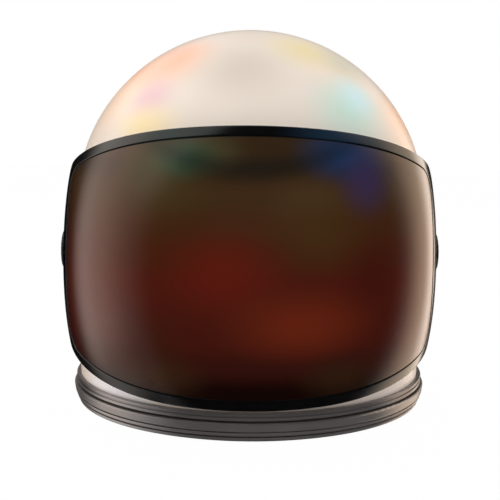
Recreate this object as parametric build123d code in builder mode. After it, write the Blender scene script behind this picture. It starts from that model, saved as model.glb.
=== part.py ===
from build123d import *
import os
from math import asin, atan2, cos, degrees, hypot, pi, radians, sin, sqrt

# Astronaut helmet with a swing-up visor and a turning neck lock ring.
# Z = 0 is the flat bottom of the neck ring, the neck axis is Z and the face looks along -Y.

os.makedirs("parts", exist_ok=True)

# Driving sizes of the shell
dome_radius = 150.0
dome_centre_height = 169.0
shell_wall = 3.0
interior_depth = 75.0
foot_taper = 3.5
foot_radius = dome_radius - foot_taper
cut_overrun = 1.0

# Neck ring: heights above the bottom face, and distances in or out from the shell's foot
base_bore_inset = 12.0
core_bore_inset = 12.9
core_outer_inset = 6.5
core_bottom = 4.0
core_top = 31.0
channel_side_gap = 0.15
channel_floor = 19.5
upper_ring_bottom = 18.3
upper_ring_top = 24.6
upper_ring_overhang = 3.8
bead_groove_height = 21.6
bead_groove_depth = 1.1
bead_groove_width = 0.9
ring_edge_fillet = 0.8
lock_band_top = 17.2
lock_band_bottom = 10.0
lock_band_overhang = 6.0
lock_band_lower_overhang = 4.9
lock_band_fillet = 1.3
glide_upper_inset = 0.2
glide_lower_overhang = 1.7
glide_gap = 0.1
band_clearance = 0.08
base_ring_top = 9.2
base_bead_overhang = 3.7
base_bead_bottom = 6.4
base_groove_inset = 1.9
base_groove_bottom = 5.0
base_lip_overhang = 1.9
base_lip_height = 2.6
base_foot_inset = 5.9

# Radii of the neck ring
base_bore_radius = foot_radius - base_bore_inset
core_bore_radius = foot_radius - core_bore_inset
core_outer_radius = foot_radius - core_outer_inset
upper_ring_radius = foot_radius + upper_ring_overhang
lock_band_radius = foot_radius + lock_band_overhang
lock_band_lower_radius = foot_radius + lock_band_lower_overhang
glide_upper_radius = foot_radius - glide_upper_inset
glide_lower_radius = foot_radius + glide_lower_overhang
base_bead_radius = foot_radius + base_bead_overhang
base_groove_radius = foot_radius - base_groove_inset
base_lip_radius = foot_radius + base_lip_overhang
base_foot_radius = foot_radius - base_foot_inset

# Lock lugs, which reach through slots in the core into the neck bore
lug_count = 4
lug_angle = 16.0
lug_reach = 2.4
lug_tip_radius = core_bore_radius - lug_reach
lug_height = 4.0
lug_middle_height = 13.6
lug_seat_depth = 2.5
lock_turn = 25.0
slot_end_angle = 1.5
slot_height_gap = 0.4
lug_screw_radius = 1.0
lug_screw_head_radius = 1.6
lug_screw_head_length = 1.2
lug_screw_length = 15.5

# Screws that hold the base ring under the core
base_screw_count = 12
base_screw_inset = 2.7
base_screw_circle_radius = core_outer_radius - base_screw_inset
base_screw_radius = 1.25
base_screw_head_radius = 2.1
base_screw_head_length = 1.6
base_screw_length = 9.0

# Neck seal in the inner groove of the core
seal_groove_height = 22.5
seal_groove_width = 3.6
seal_groove_depth = 2.4
seal_lip_reach = 3.1
seal_lip_radius = core_bore_radius - seal_lip_reach

# Face port in the shell, seen from the side: heights and distances forward of the neck axis
port_rear = 72.0
port_top_front = 214.0
port_top_rear = 200.0
port_bottom_front = 64.0
port_bottom_rear = 74.0
port_corner = 30.0
port_trim_width = 2.2
port_trim_proud = 1.2
brow_raise = 0.9
brow_rear = 58.0
brow_top_front = 250.6
brow_top_rear = 220.4
brow_bottom_front = 50.0
brow_bottom_rear = 60.0
brow_corner = 34.0

# Visor surface: a section turned about the pivot axis, of three tangent arcs on each side
pivot_height = 128.0
visor_front_gap = 46.0
visor_side_gap = 5.0
visor_arc_setback = 4.0
visor_corner_share = 0.9
visor_side_share = 4.66667
visor_reach = dome_radius + visor_front_gap
visor_half_width = dome_radius + visor_side_gap
visor_front_arc = visor_reach + visor_arc_setback
visor_corner_arc = dome_radius * visor_corner_share
visor_side_arc = dome_radius * visor_side_share
lens_thickness = 2.5
outline_overrun = 14.0
visor_front = visor_reach + outline_overrun
visor_swing = 65.0

# Frame outline seen from the side: distances forward of the pivot, heights above it
frame_rear = 58.0
frame_top_front = 132.9
frame_top_rear = 76.7
frame_bottom_front = -106.3
frame_bottom_rear = -66.1
frame_corner = 17.0
ear_root_half_height = 42.0
ear_tip_half_height = 19.5
ear_root_fillet = 26.0
ear_tip_forward = 6.0
hub_radius = 21.0

# Lens outline: its sides are an arc about the pivot
lens_side_radius = 105.0
lens_top_front = 123.6
lens_top_rear = 71.7
lens_bottom_front = -96.1
lens_bottom_rear = -58.3
lens_rear = 75.0
lens_corner = 14.0
lens_seal_width = 1.2
lens_seal_sink = 0.5
lens_seal_lip = 0.6

# Visor pivots, out along X from the shell
boss_radius = 22.0
stud_radius = 4.0
stud_nut_overrun = 2.5
stud_knob_cover = 2.4
stud_clearance = 0.05
hub_bore_radius = 5.5
hub_play = 0.4
backing_radius = 14.0
backing_inset = 8.5
nut_height = 4.0
nut_across_flats = 13.0
inner_washer_radius = 9.5
inner_washer_thickness = 0.8
bushing_flange_radius = 8.0
bushing_flange_thickness = 0.8
outer_washer_radius = 10.0
outer_washer_thickness = 0.9
stack_gap = 0.1
knob_radius = 16.5
knob_height = 6.3
knob_grip_count = 18
knob_grip_radius = 1.2
knob_grip_inset = 0.45
knob_recess_radius = 10.5
knob_recess_depth = 0.8
insert_radius = 6.5
insert_length = 3.0
insert_play = 0.3
stop_pin_circle = 12.6
stop_pin_radius = 1.3
stop_pin_angle = 270.0
stop_pin_depth = 3.9
stop_pin_proud = 0.2
stop_slot_gap = 0.15
stop_slot_end_angle = 0.7

# Faces of the pivot stack, from the nut inside the shell to the knob
backing_inner_face = dome_radius - backing_inset
stud_inner_end = backing_inner_face - nut_height - stud_nut_overrun
hub_inner_face = visor_half_width - lens_thickness
boss_face = hub_inner_face - hub_play - inner_washer_thickness
flange_face = visor_half_width + bushing_flange_thickness
outer_washer_face = flange_face + stack_gap
knob_inner_face = outer_washer_face + outer_washer_thickness + stack_gap
knob_outer_face = knob_inner_face + knob_height
stud_outer_end = knob_outer_face - stud_knob_cover
stop_pin_inner_end = boss_face - stop_pin_depth
sleeve_bore = stud_radius + stud_clearance

# Foam pads inside the shell
pad_gap = 0.3
pad_thickness = 18.0
crown_pad_angle = 36.0
rear_pad_half_angle = 40.0
rear_pad_bottom = 92.0
rear_pad_top_angle = 30.0
side_pad_half_angle = 17.0
side_pad_bottom = 84.0
side_pad_top_angle = 20.0
pad_pocket_radius = 17.0
pad_pocket_gap = 2.0
pad_pocket_floor = stud_inner_end - pad_pocket_gap

pivot_axis = Axis((0, 0, pivot_height), (1, 0, 0))
pivot_plane = Plane(origin=(0, 0, pivot_height), x_dir=(1, 0, 0), z_dir=(0, 0, 1))
side_plane = Plane.YZ
sides = {"left": -1, "right": 1}


def save(part, name):
    """Label a finished piece and write it."""
    part.label = name
    export_step(part, f"parts/{name}.step")


# Shell wall sections

def shell_slope(depth):
    """Radius of the straight lower wall at its foot and at the dome's centre height."""
    return foot_radius - depth, dome_radius - depth


def wall_radius(height, depth):
    """Radius of the wall below the dome's centre, at a depth under its outer face."""
    low, high = shell_slope(depth)
    share = (height - channel_floor) / (dome_centre_height - channel_floor)
    return low + (high - low) * share


def dome_point(angle, depth):
    """Point of the dome's section at an angle above its centre height."""
    radius = dome_radius - depth
    return radius * cos(radians(angle)), dome_centre_height + radius * sin(radians(angle))


def radial_plane(angle):
    """Upright plane through the neck axis, its X pointing out at an angle from +X."""
    out = (cos(radians(angle)), sin(radians(angle)), 0)
    across = (sin(radians(angle)), -cos(radians(angle)), 0)
    return Plane(origin=(0, 0, 0), x_dir=out, z_dir=across)


def wall_outline(outer_depth, inner_depth, bottom, top_angle):
    """Wall between two depths, from a height on the lower wall to an angle on the dome."""
    out_low = (wall_radius(bottom, outer_depth), bottom)
    out_mid = (dome_radius - outer_depth, dome_centre_height)
    out_high = dome_point(top_angle, outer_depth)
    in_low = (wall_radius(bottom, inner_depth), bottom)
    in_mid = (dome_radius - inner_depth, dome_centre_height)
    in_high = dome_point(top_angle, inner_depth)
    Line(in_low, out_low)
    Line(out_low, out_mid)
    ThreePointArc(out_mid, dome_point(top_angle / 2, outer_depth), out_high)
    Line(out_high, in_high)
    ThreePointArc(in_high, dome_point(top_angle / 2, inner_depth), in_mid)
    Line(in_mid, in_low)


def side_outline(rear, top_front, top_rear, bottom_front, bottom_rear, base=0.0):
    """Closed four-sided outline on the side plane, from the visor's front to a rear edge."""
    Polyline(
        (-visor_front, base + top_front),
        (-rear, base + top_rear),
        (-rear, base + bottom_rear),
        (-visor_front, base + bottom_front),
        close=True,
    )


with BuildSketch(side_plane) as port_outline:
    with BuildLine():
        side_outline(port_rear, port_top_front, port_top_rear, port_bottom_front, port_bottom_rear)
    make_face()
    fillet(port_outline.vertices().group_by(Axis.Y)[-1], port_corner)

with BuildSketch(side_plane) as port_inner:
    add(port_outline.sketch_local)
    offset(amount=-port_trim_width, kind=Kind.ARC)

with BuildSketch(side_plane) as brow_outline:
    with BuildLine():
        side_outline(brow_rear, brow_top_front, brow_top_rear, brow_bottom_front, brow_bottom_rear)
    make_face()
    fillet(brow_outline.vertices().group_by(Axis.Y)[-1], brow_corner)

with BuildPart() as brow_band:
    with BuildSketch(radial_plane(0)):
        with BuildLine():
            wall_outline(-brow_raise, 0, channel_floor, 90)
        make_face()
    revolve(axis=Axis.Z)
    extrude(brow_outline.sketch, amount=visor_reach, both=True, mode=Mode.INTERSECT)


def revolved_wall(outer_depth, inner_depth, top_angle=90.0):
    """Solid of the wall between two depths, turned right round the neck axis."""
    with BuildPart() as wall:
        with BuildSketch(radial_plane(0)):
            with BuildLine():
                wall_outline(outer_depth, inner_depth, channel_floor, top_angle)
            make_face()
        revolve(axis=Axis.Z)
    return wall.part


def pivot_face(turn, distance):
    """Plane square to the pivot axis at a distance from the middle, facing outwards."""
    return Plane(origin=(turn * distance, 0, pivot_height), x_dir=(0, turn, 0), z_dir=(turn, 0, 0))


interior = revolved_wall(shell_wall, interior_depth)

# Stop pins: the visor's hub turns about them in a curved slot
stop_pin_outer_end = visor_half_width + stop_pin_proud
stop_pins = {}
for side, turn in sides.items():
    with BuildPart() as stop_pin:
        with BuildSketch(pivot_face(turn, stop_pin_inner_end)):
            with PolarLocations(stop_pin_circle, 1, stop_pin_angle):
                Circle(stop_pin_radius)
        extrude(amount=stop_pin_outer_end - stop_pin_inner_end)
    save(stop_pin.part, f"stop_pin_{side}")
    stop_pins[side] = stop_pin.part

# Pivot bosses carry the visor on flat faces outside the shell's curved wall
with BuildPart() as pivot_bosses:
    for turn in sides.values():
        with BuildSketch(pivot_face(turn, backing_inner_face)):
            Circle(boss_radius)
        extrude(amount=boss_face - backing_inner_face)
    add(interior, mode=Mode.SUBTRACT)

with BuildPart() as helmet_shell:
    add(revolved_wall(0, shell_wall))
    add(brow_band.part)
    add(pivot_bosses.part)
    extrude(port_outline.sketch, amount=visor_reach, both=True, mode=Mode.SUBTRACT)
    with BuildSketch(pivot_face(1, 0)):
        Circle(stud_radius + stud_clearance)
    extrude(amount=visor_reach, both=True, mode=Mode.SUBTRACT)
    for pin in stop_pins.values():
        add(pin, mode=Mode.SUBTRACT)
save(helmet_shell.part, "helmet_shell")

# Rubber trim lining the edge of the face port
with BuildPart() as port_trim:
    add(revolved_wall(-brow_raise - port_trim_proud, shell_wall + port_trim_proud))
    extrude(port_outline.sketch, amount=visor_reach, both=True, mode=Mode.INTERSECT)
    extrude(port_inner.sketch, amount=visor_reach, both=True, mode=Mode.SUBTRACT)
save(port_trim.part, "port_trim")

# Neck ring

def lug_sector(first_angle, sweep, inner, outer, bottom, height):
    """Curved block about the neck axis, made by turning a rectangle."""
    with BuildPart() as sector:
        with BuildSketch(radial_plane(first_angle)):
            with Locations(((inner + outer) / 2, bottom + height / 2)):
                Rectangle(outer - inner, height)
        revolve(axis=Axis.Z, revolution_arc=sweep)
    return sector.part


lug_bottom = lug_middle_height - lug_height / 2
band_bore_radius = core_outer_radius + band_clearance
lug_root_radius = band_bore_radius + lug_seat_depth
lug_starts = [360.0 / lug_count * index - lug_angle / 2 for index in range(lug_count)]
lug_middles = [start + lug_angle / 2 for start in lug_starts]

with BuildPart() as lug_screws:
    for middle in lug_middles:
        out = (cos(radians(middle)), sin(radians(middle)), 0)
        tip = (lug_tip_radius * out[0], lug_tip_radius * out[1], lug_middle_height)
        with BuildSketch(Plane(origin=tip, z_dir=out)):
            Circle(lug_screw_radius)
        extrude(amount=lug_screw_length)
        with BuildSketch(Plane(origin=tip, z_dir=out)):
            Circle(lug_screw_head_radius)
        extrude(amount=lug_screw_head_length)
save(lug_screws.part, "lug_screws")

with BuildPart() as lock_lugs:
    for start in lug_starts:
        add(lug_sector(start, lug_angle, lug_tip_radius, lug_root_radius, lug_bottom, lug_height))
    add(lug_screws.part, mode=Mode.SUBTRACT)
save(lock_lugs.part, "lock_lugs")

with BuildPart() as lock_band:
    with BuildSketch(radial_plane(0)):
        with BuildLine():
            Polyline(
                (band_bore_radius, lock_band_bottom),
                (lock_band_lower_radius, lock_band_bottom),
                (lock_band_radius, lock_band_top),
                (band_bore_radius, lock_band_top),
                close=True,
            )
        make_face()
    revolve(axis=Axis.Z)
    fillet(lock_band.edges().sort_by(lambda edge: edge.length)[-2:], lock_band_fillet)
    for start in lug_starts:
        add(
            lug_sector(start, lug_angle, core_bore_radius, lug_root_radius, lug_bottom, lug_height),
            mode=Mode.SUBTRACT,
        )
    add(lug_screws.part, mode=Mode.SUBTRACT)
save(lock_band.part, "lock_band")


def flat_ring(inner, outer, bottom, top):
    """Plain ring about the neck axis."""
    with BuildPart() as ring:
        with BuildSketch(Plane.XY.offset(bottom)):
            Circle(outer)
            Circle(inner, mode=Mode.SUBTRACT)
        extrude(amount=top - bottom)
    return ring.part


save(
    flat_ring(band_bore_radius, glide_upper_radius, lock_band_top + glide_gap, upper_ring_bottom),
    "glide_ring_upper",
)
save(
    flat_ring(band_bore_radius, glide_lower_radius, base_ring_top, lock_band_bottom - glide_gap),
    "glide_ring_lower",
)

# Countersunk screws up through the base ring into the core
with BuildPart() as base_screws:
    with BuildSketch(Plane.XY):
        with PolarLocations(base_screw_circle_radius, base_screw_count):
            Circle(base_screw_radius)
    extrude(amount=base_screw_length)
    with PolarLocations(base_screw_circle_radius, base_screw_count):
        Cone(
            base_screw_head_radius,
            base_screw_radius,
            base_screw_head_length,
            align=(Align.CENTER, Align.CENTER, Align.MIN),
        )
save(base_screws.part, "base_screws")

with BuildPart() as base_ring:
    with BuildSketch(radial_plane(0)) as base_section:
        with BuildLine():
            Polyline(
                (base_bore_radius, 0),
                (base_foot_radius, 0),
                (base_lip_radius, base_lip_height),
                (base_lip_radius, base_groove_bottom),
                (base_groove_radius, base_groove_bottom),
                (base_groove_radius, base_bead_bottom),
                (base_bead_radius, base_bead_bottom),
                (base_bead_radius, base_ring_top),
                (band_bore_radius, base_ring_top),
                (band_bore_radius, core_bottom),
                (base_bore_radius, core_bottom),
                close=True,
            )
        make_face()
        fillet(base_section.vertices().filter_by(lambda v: v.X > base_groove_radius), ring_edge_fillet)
    revolve(axis=Axis.Z)
    add(base_screws.part, mode=Mode.SUBTRACT)
save(base_ring.part, "base_ring")

seal_bottom = seal_groove_height - seal_groove_width / 2
seal_top = seal_groove_height + seal_groove_width / 2
channel_outer_radius = wall_radius(upper_ring_top, 0) + channel_side_gap
channel_inner_radius = foot_radius - shell_wall - channel_side_gap

with BuildPart() as upper_ring:
    with BuildSketch(radial_plane(0)) as ring_section:
        with BuildLine():
            Polyline(
                (core_bore_radius, core_bottom),
                (core_outer_radius, core_bottom),
                (core_outer_radius, upper_ring_bottom),
                (upper_ring_radius, upper_ring_bottom),
                (upper_ring_radius, upper_ring_top),
                (channel_outer_radius, upper_ring_top),
                (channel_outer_radius, channel_floor),
                (channel_inner_radius, channel_floor),
                (channel_inner_radius, core_top),
                (core_bore_radius, core_top),
                close=True,
            )
        make_face()
        with Locations((upper_ring_radius, bead_groove_height)):
            Rectangle(2 * bead_groove_depth, bead_groove_width, mode=Mode.SUBTRACT)
        fillet(ring_section.vertices().group_by(Axis.X)[-1], ring_edge_fillet)
    revolve(axis=Axis.Z)
    add(
        flat_ring(seal_lip_radius, core_bore_radius + seal_groove_depth, seal_bottom, seal_top),
        mode=Mode.SUBTRACT,
    )
    for start in lug_starts:
        add(
            lug_sector(
                start - slot_end_angle,
                lug_angle + lock_turn + 2 * slot_end_angle,
                core_bore_radius - cut_overrun,
                core_outer_radius + cut_overrun,
                lug_bottom - slot_height_gap,
                lug_height + 2 * slot_height_gap,
            ),
            mode=Mode.SUBTRACT,
        )
    add(base_screws.part, mode=Mode.SUBTRACT)
save(upper_ring.part, "upper_ring")

# Lip seal that closes on the suit's neck flange
with BuildPart() as neck_seal:
    with BuildSketch(radial_plane(0)):
        with BuildLine():
            Polyline(
                (core_bore_radius + seal_groove_depth, seal_bottom),
                (core_bore_radius + seal_groove_depth, seal_top),
                (core_bore_radius, seal_top),
                (seal_lip_radius, seal_groove_height),
                (core_bore_radius, seal_bottom),
                close=True,
            )
        make_face()
    revolve(axis=Axis.Z)
save(neck_seal.part, "neck_seal")

# Visor section: centres and joints of its arcs, as distances across and out from the pivot axis
front_centre = (0.0, visor_reach - visor_front_arc)
side_centre = (visor_half_width - visor_side_arc, 0.0)
front_to_corner = visor_front_arc - visor_corner_arc
side_to_corner = visor_side_arc - visor_corner_arc
centre_gap = hypot(front_centre[0] - side_centre[0], front_centre[1] - side_centre[1])
centre_turn = atan2(front_centre[1] - side_centre[1], front_centre[0] - side_centre[0])
front_to_foot = (front_to_corner**2 - side_to_corner**2 + centre_gap**2) / (2 * centre_gap)
foot_to_corner = sqrt(front_to_corner**2 - front_to_foot**2)
side_corner_turn = centre_turn + atan2(foot_to_corner, centre_gap - front_to_foot)
corner_centre = (
    side_centre[0] + side_to_corner * cos(side_corner_turn),
    side_centre[1] + side_to_corner * sin(side_corner_turn),
)
front_corner_turn = atan2(corner_centre[1] - front_centre[1], corner_centre[0] - front_centre[0])


def arc_point(centre, radius, turn, mirror=1):
    """Point of a visor arc on the pivot plane, forward being minus."""
    across = centre[0] + radius * cos(turn)
    out = centre[1] + radius * sin(turn)
    return mirror * across, -out


def visor_line(depth):
    """The five arcs of the visor section at a depth under its outer face."""
    front = visor_front_arc - depth
    corner = visor_corner_arc - depth
    side = visor_side_arc - depth
    end_turn = asin(hub_bore_radius / side)
    ThreePointArc(
        arc_point(front_centre, front, front_corner_turn, -1),
        arc_point(front_centre, front, pi / 2),
        arc_point(front_centre, front, front_corner_turn),
    )
    for mirror in sides.values():
        ThreePointArc(
            arc_point(corner_centre, corner, front_corner_turn, mirror),
            arc_point(corner_centre, corner, (front_corner_turn + side_corner_turn) / 2, mirror),
            arc_point(corner_centre, corner, side_corner_turn, mirror),
        )
        ThreePointArc(
            arc_point(side_centre, side, side_corner_turn, mirror),
            arc_point(side_centre, side, (side_corner_turn + end_turn) / 2, mirror),
            arc_point(side_centre, side, end_turn, mirror),
        )


def visor_end(depth, mirror):
    """End of the visor section beside the hub bore."""
    side = visor_side_arc - depth
    return arc_point(side_centre, side, asin(hub_bore_radius / side), mirror)


def visor_wall(outer_depth, inner_depth):
    """Solid between two depths of the visor section, turned about the pivot axis."""
    with BuildPart() as wall:
        with BuildSketch(pivot_plane):
            with BuildLine():
                visor_line(outer_depth)
                visor_line(inner_depth)
                for mirror in sides.values():
                    Line(visor_end(outer_depth, mirror), visor_end(inner_depth, mirror))
            make_face()
        revolve(axis=pivot_axis)
    return wall.part


# Side outlines of the lens, its seal and the frame
with BuildSketch(side_plane) as lens_outline:
    with BuildLine():
        side_outline(
            lens_rear, lens_top_front, lens_top_rear, lens_bottom_front, lens_bottom_rear, pivot_height
        )
    make_face()
    with Locations((0, pivot_height)):
        Circle(lens_side_radius, mode=Mode.SUBTRACT)
    fillet(lens_outline.vertices().group_by(Axis.Y)[-2:], lens_corner)

with BuildSketch(side_plane) as seal_outline:
    add(lens_outline.sketch_local)
    offset(amount=lens_seal_width, kind=Kind.ARC)

with BuildSketch(side_plane) as frame_outline:
    with BuildLine():
        Polyline(
            (-visor_front, pivot_height + frame_top_front),
            (-frame_rear, pivot_height + frame_top_rear),
            (-frame_rear, pivot_height + ear_root_half_height),
            (-ear_tip_forward, pivot_height + ear_tip_half_height),
            (-ear_tip_forward, pivot_height - ear_tip_half_height),
            (-frame_rear, pivot_height - ear_root_half_height),
            (-frame_rear, pivot_height + frame_bottom_rear),
            (-visor_front, pivot_height + frame_bottom_front),
            close=True,
        )
    make_face()
    frame_corners = frame_outline.vertices().group_by(Axis.Y)[1].sort_by(Axis.Z)
    fillet([frame_corners[0], frame_corners[-1]], frame_corner)
    ear_roots = frame_outline.vertices().group_by(Axis.Y)[-2].sort_by(Axis.Z)[1:3]
    fillet(ear_roots, ear_root_fillet)
    with Locations((0, pivot_height)):
        Circle(hub_radius)
        Circle(hub_bore_radius, mode=Mode.SUBTRACT)

with BuildPart() as visor_lens:
    add(visor_wall(0, lens_thickness))
    extrude(lens_outline.sketch, amount=visor_reach, both=True, mode=Mode.INTERSECT)
save(visor_lens.part, "visor_lens")

with BuildPart() as lens_seal:
    add(visor_wall(lens_seal_sink, lens_thickness + lens_seal_lip))
    extrude(seal_outline.sketch, amount=visor_reach, both=True, mode=Mode.INTERSECT)
    extrude(lens_outline.sketch, amount=visor_reach, both=True, mode=Mode.SUBTRACT)
save(lens_seal.part, "lens_seal")

# Curved slot in each hub, which the stop pin fills at both ends of the swing
slot_half_width = stop_pin_radius + stop_slot_gap
slot_end_turn = degrees(asin(stop_pin_radius / stop_pin_circle)) + stop_slot_end_angle
slot_sweep = visor_swing + 2 * slot_end_turn
with BuildSketch(side_plane) as stop_slot:
    with BuildLine():
        slot_outer = CenterArc(
            (0, pivot_height), stop_pin_circle + slot_half_width, stop_pin_angle - slot_end_turn, slot_sweep
        )
        slot_inner = CenterArc(
            (0, pivot_height), stop_pin_circle - slot_half_width, stop_pin_angle - slot_end_turn, slot_sweep
        )
        Line(slot_outer @ 0, slot_inner @ 0)
        Line(slot_outer @ 1, slot_inner @ 1)
    make_face()

with BuildPart() as visor_frame:
    add(visor_wall(0, lens_thickness))
    extrude(frame_outline.sketch, amount=visor_reach, both=True, mode=Mode.INTERSECT)
    extrude(seal_outline.sketch, amount=visor_reach, both=True, mode=Mode.SUBTRACT)
    extrude(stop_slot.sketch, amount=visor_reach, both=True, mode=Mode.SUBTRACT)
save(visor_frame.part, "visor_frame")

# Pivot stack on each side

def pivot_ring(turn, inner_face, thickness, outer_radius, bore):
    """Round piece on the pivot axis with a bore through it."""
    with BuildPart() as ring:
        with BuildSketch(pivot_face(turn, inner_face)):
            Circle(outer_radius)
            Circle(bore, mode=Mode.SUBTRACT)
        extrude(amount=thickness)
    return ring.part


for side, turn in sides.items():
    with BuildPart() as pivot_stud:
        with BuildSketch(pivot_face(turn, stud_inner_end)):
            Circle(stud_radius)
        extrude(amount=stud_outer_end - stud_inner_end)
    save(pivot_stud.part, f"pivot_stud_{side}")

    with BuildPart() as backing_plate:
        add(pivot_ring(turn, backing_inner_face, boss_face - backing_inner_face, backing_radius, sleeve_bore))
        add(interior, mode=Mode.INTERSECT)
    save(backing_plate.part, f"backing_plate_{side}")

    with BuildPart() as pivot_nut:
        with BuildSketch(pivot_face(turn, backing_inner_face - nut_height)):
            RegularPolygon(nut_across_flats / 2, 6, major_radius=False)
            Circle(stud_radius, mode=Mode.SUBTRACT)
        extrude(amount=nut_height)
    save(pivot_nut.part, f"pivot_nut_{side}")

    save(
        pivot_ring(turn, boss_face, inner_washer_thickness, inner_washer_radius, sleeve_bore),
        f"inner_washer_{side}",
    )
    save(
        pivot_ring(turn, outer_washer_face, outer_washer_thickness, outer_washer_radius, sleeve_bore),
        f"outer_washer_{side}",
    )

    with BuildPart() as pivot_bushing:
        add(pivot_ring(turn, hub_inner_face, flange_face - hub_inner_face, hub_bore_radius, sleeve_bore))
        add(pivot_ring(turn, visor_half_width, bushing_flange_thickness, bushing_flange_radius, sleeve_bore))
    save(pivot_bushing.part, f"pivot_bushing_{side}")

    insert_depth = stud_outer_end + insert_play - knob_inner_face
    save(
        pivot_ring(turn, knob_inner_face, insert_length, insert_radius, sleeve_bore),
        f"knob_insert_{side}",
    )
    with BuildPart() as pivot_knob:
        with BuildSketch(pivot_face(turn, knob_inner_face)):
            Circle(knob_radius)
            with PolarLocations(knob_radius + knob_grip_radius - knob_grip_inset, knob_grip_count):
                Circle(knob_grip_radius, mode=Mode.SUBTRACT)
        extrude(amount=knob_outer_face - knob_inner_face)
        with BuildSketch(pivot_face(turn, knob_inner_face)):
            Circle(insert_radius)
        extrude(amount=insert_length, mode=Mode.SUBTRACT)
        with BuildSketch(pivot_face(turn, knob_inner_face)):
            Circle(sleeve_bore)
        extrude(amount=insert_depth, mode=Mode.SUBTRACT)
        with BuildSketch(pivot_face(turn, knob_outer_face - knob_recess_depth)):
            Circle(knob_recess_radius)
        extrude(amount=knob_recess_depth, mode=Mode.SUBTRACT)
    save(pivot_knob.part, f"pivot_knob_{side}")

# Foam pads inside the shell, plain and clear of it
pad_outer_depth = shell_wall + pad_gap
pad_inner_depth = pad_outer_depth + pad_thickness


def wall_pad(middle_angle, half_angle, bottom, top_angle):
    """Pad that follows the shell's wall about an upright middle line."""
    with BuildPart() as pad:
        with BuildSketch(radial_plane(middle_angle - half_angle)):
            with BuildLine():
                wall_outline(pad_outer_depth, pad_inner_depth, bottom, top_angle)
            make_face()
        revolve(axis=Axis.Z, revolution_arc=2 * half_angle)
    return pad.part


save(wall_pad(90, rear_pad_half_angle, rear_pad_bottom, rear_pad_top_angle), "rear_pad")

for side, turn in sides.items():
    with BuildPart() as side_pad:
        add(wall_pad(90 - turn * 90, side_pad_half_angle, side_pad_bottom, side_pad_top_angle))
        with BuildSketch(pivot_face(turn, pad_pocket_floor)):
            Circle(pad_pocket_radius)
        extrude(amount=dome_radius - pad_pocket_floor, mode=Mode.SUBTRACT)
    save(side_pad.part, f"side_pad_{side}")

crown_low_angle = 90 - crown_pad_angle
with BuildPart() as crown_pad:
    with BuildSketch(radial_plane(0)):
        with BuildLine():
            Line(dome_point(crown_low_angle, pad_inner_depth), dome_point(crown_low_angle, pad_outer_depth))
            ThreePointArc(
                dome_point(crown_low_angle, pad_outer_depth),
                dome_point(90 - crown_pad_angle / 2, pad_outer_depth),
                (0, dome_centre_height + dome_radius - pad_outer_depth),
            )
            Line(
                (0, dome_centre_height + dome_radius - pad_outer_depth),
                (0, dome_centre_height + dome_radius - pad_inner_depth),
            )
            ThreePointArc(
                (0, dome_centre_height + dome_radius - pad_inner_depth),
                dome_point(90 - crown_pad_angle / 2, pad_inner_depth),
                dome_point(crown_low_angle, pad_inner_depth),
            )
        make_face()
    revolve(axis=Axis.Z)
save(crown_pad.part, "crown_pad")
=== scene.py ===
from math import cos, hypot, pi, radians, sin

import bmesh
import bpy
import numpy as np
from mathutils import Matrix, Vector


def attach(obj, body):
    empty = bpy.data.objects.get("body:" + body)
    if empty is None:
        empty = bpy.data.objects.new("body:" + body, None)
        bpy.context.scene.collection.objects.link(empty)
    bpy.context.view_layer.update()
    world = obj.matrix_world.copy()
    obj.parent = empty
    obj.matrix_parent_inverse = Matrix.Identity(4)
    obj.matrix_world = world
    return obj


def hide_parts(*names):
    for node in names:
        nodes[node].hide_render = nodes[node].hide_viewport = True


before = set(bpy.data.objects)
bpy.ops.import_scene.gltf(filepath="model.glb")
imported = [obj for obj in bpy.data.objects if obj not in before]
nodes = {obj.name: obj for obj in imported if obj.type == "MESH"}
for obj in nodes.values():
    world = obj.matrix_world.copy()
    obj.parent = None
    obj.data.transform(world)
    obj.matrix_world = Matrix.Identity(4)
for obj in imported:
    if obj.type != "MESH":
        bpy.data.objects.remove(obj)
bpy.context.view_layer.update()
mm = 0.001
print("frame:", len(nodes), "nodes")

# Camera: 1 m from the middle of the dome, which lies above the middle of the picture
cameraSetup = {
    "aim": (0, 0, 0.169), "distance": 1.0, "elevation": 5.69, "roll": 0.51,
    "sensor": 36.0, "pictureWidth": 500, "focalPixels": 1145.2, "aimPixel": (250.27, 203.7),
    "clip": (0.05, 50),
}


def makeCamera(setup):
    # place = aim + distance * (0, -cos, sin) of the elevation; shift = pixels off the middle / width
    data = bpy.data.cameras.new("front_camera")
    data.sensor_width = setup["sensor"]
    data.lens = setup["focalPixels"] / setup["pictureWidth"] * setup["sensor"]
    half = setup["pictureWidth"] / 2
    data.shift_x = (half - setup["aimPixel"][0]) / setup["pictureWidth"]
    data.shift_y = (setup["aimPixel"][1] - half) / setup["pictureWidth"]
    data.clip_start, data.clip_end = setup["clip"]
    camera = bpy.data.objects.new("front_camera", data)
    up = radians(setup["elevation"])
    back = Vector((0, -cos(up), sin(up)))
    camera.location = Vector(setup["aim"]) + back * setup["distance"]
    look = (-back).to_track_quat("-Z", "Y").to_matrix().to_4x4()
    turned = look @ Matrix.Rotation(radians(setup["roll"]), 4, "Z")
    camera.rotation_euler = turned.to_euler()
    bpy.context.scene.collection.objects.link(camera)
    bpy.context.scene.camera = camera


makeCamera(cameraSetup)
bpy.context.scene.view_settings.view_transform = "Standard"


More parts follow.
